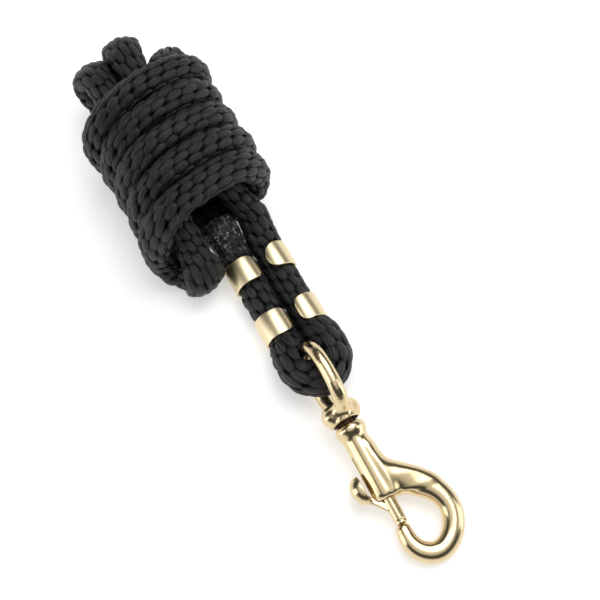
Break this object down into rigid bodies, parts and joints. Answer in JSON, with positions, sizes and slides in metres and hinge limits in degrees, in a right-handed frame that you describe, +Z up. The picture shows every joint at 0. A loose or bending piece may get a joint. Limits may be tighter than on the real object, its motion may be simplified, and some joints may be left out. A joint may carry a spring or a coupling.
{
  "type": "lead rope",
  "caption": "Hanked black braided lead rope ending in a clamped eye with a swivelling brass bolt snap.",
  "frame": {"origin": "bottom centre of the whole object's bounding box, on the table it lies on", "axes": "+X from the hank to the hook along the object's length, +Z up, +Y towards the side the hook bulges to; the snap's lever is on the -Y side"},
  "size_m": [0.2846, 0.0714, 0.0568],
  "materials": {
    "rope": "braided synthetic rope, satin",
    "clamp_brass": "stamped strip, satin",
    "snap_brass": "cast, polished",
    "spring_steel": "drawn wire"
  },
  "bodies": {
    "hank": {"rope_hank": "rope"},
    "neck": {"rope_eye": "rope", "rope_clamp_1": "clamp_brass", "rope_clamp_2": "clamp_brass"},
    "eye": {"swivel_eye": "snap_brass"},
    "snap": {"snap_body": "snap_brass", "spring": "spring_steel"},
    "bolt": {"bolt": "snap_brass"}
  },
  "joints": [
    {"name": "neck_flex", "type": "hinge", "parent": "hank", "child": "neck", "pos_m": [-0.03737, 0.01744, 0.0184], "axis": [0, -1, 0], "range_deg": [0, 30]},
    {"name": "eye_pivot", "type": "hinge", "parent": "neck", "child": "eye", "pos_m": [0.04943, 0.01089, 0.0143], "axis": [0, -1, 0], "range_deg": [-30, 60]},
    {"name": "swivel", "type": "hinge", "parent": "eye", "child": "snap", "pos_m": [0.07133, 0.00874, 0.01353], "axis": [0.991, 0, -0.1342], "continuous": true},
    {"name": "bolt_slide", "type": "slide", "parent": "snap", "child": "bolt", "axis": [-0.991, 0, 0.1342], "range_m": [0, 0.0125], "stiffness_N_per_m": 150, "springref_m": -0.012, "deforming": ["spring"]}
  ]
}
